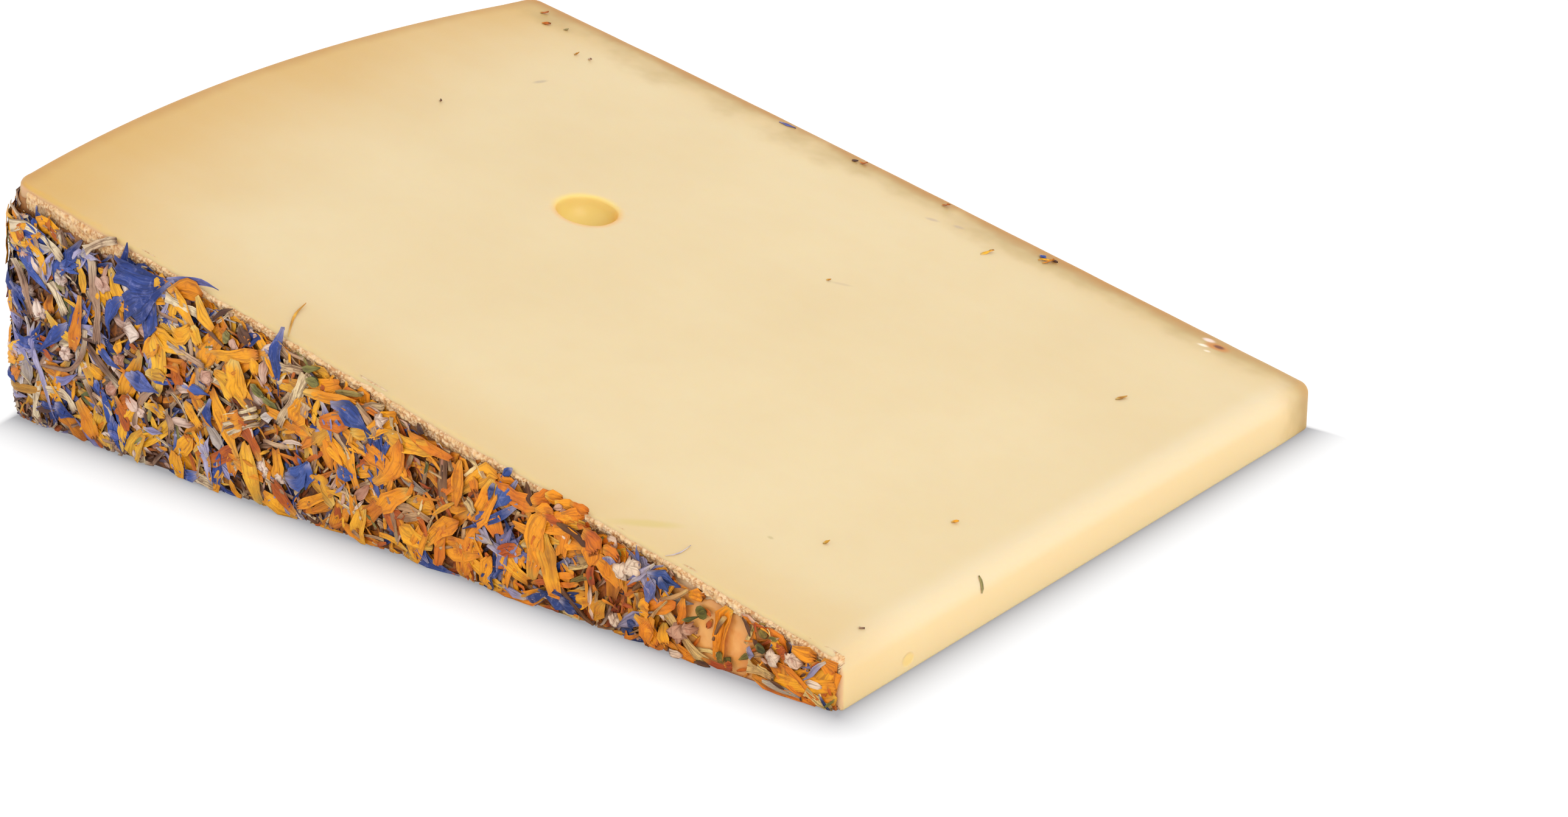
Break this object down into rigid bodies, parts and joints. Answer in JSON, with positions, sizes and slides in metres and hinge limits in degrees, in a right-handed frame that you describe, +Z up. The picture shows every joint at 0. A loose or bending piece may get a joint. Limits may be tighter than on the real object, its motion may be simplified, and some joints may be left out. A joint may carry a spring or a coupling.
{
  "type": "flower-crusted cheese wedge",
  "caption": "Wedge of pale hard cheese cut from a large wheel, its rind crusted with dried blue, orange and straw-coloured petals.",
  "frame": {"origin": "middle of the resting face: the bottom centre of the overall box", "axes": "+X along the wedge towards its thin end, +Y towards the plain-looking back face of the wheel, +Z up; the flower-crusted face seen in the picture looks towards -Y and the outer rind towards -X"},
  "size_m": [0.1296, 0.0953, 0.0314],
  "materials": {
    "cheese_paste": "smooth cut cheese with a soft satin sheen, browner towards the rind",
    "cheese_rind": "orange-beige rind, slightly oily, with a pale crumbly cut rim",
    "blue_petals": "dried petals, matt, wrinkled lengthwise",
    "faded_petals": "faded lilac to grey-white dried petals, matt",
    "orange_petals": "dried petals, satin, fine lengthwise lines",
    "yellow_petals": "dried petals, satin, fine lengthwise lines",
    "straw_bits": "chopped dry stalks and husks, matt and fibrous",
    "leaf_bits": "dark olive leaf fragments, matt",
    "blossoms": "small dry pinkish-white blossoms and buds, matt",
    "dark_bits": "dark brown slivers and pods, dull"
  },
  "bodies": {
    "root": {"cheese": "cheese_paste"}
  },
  "joints": []
}
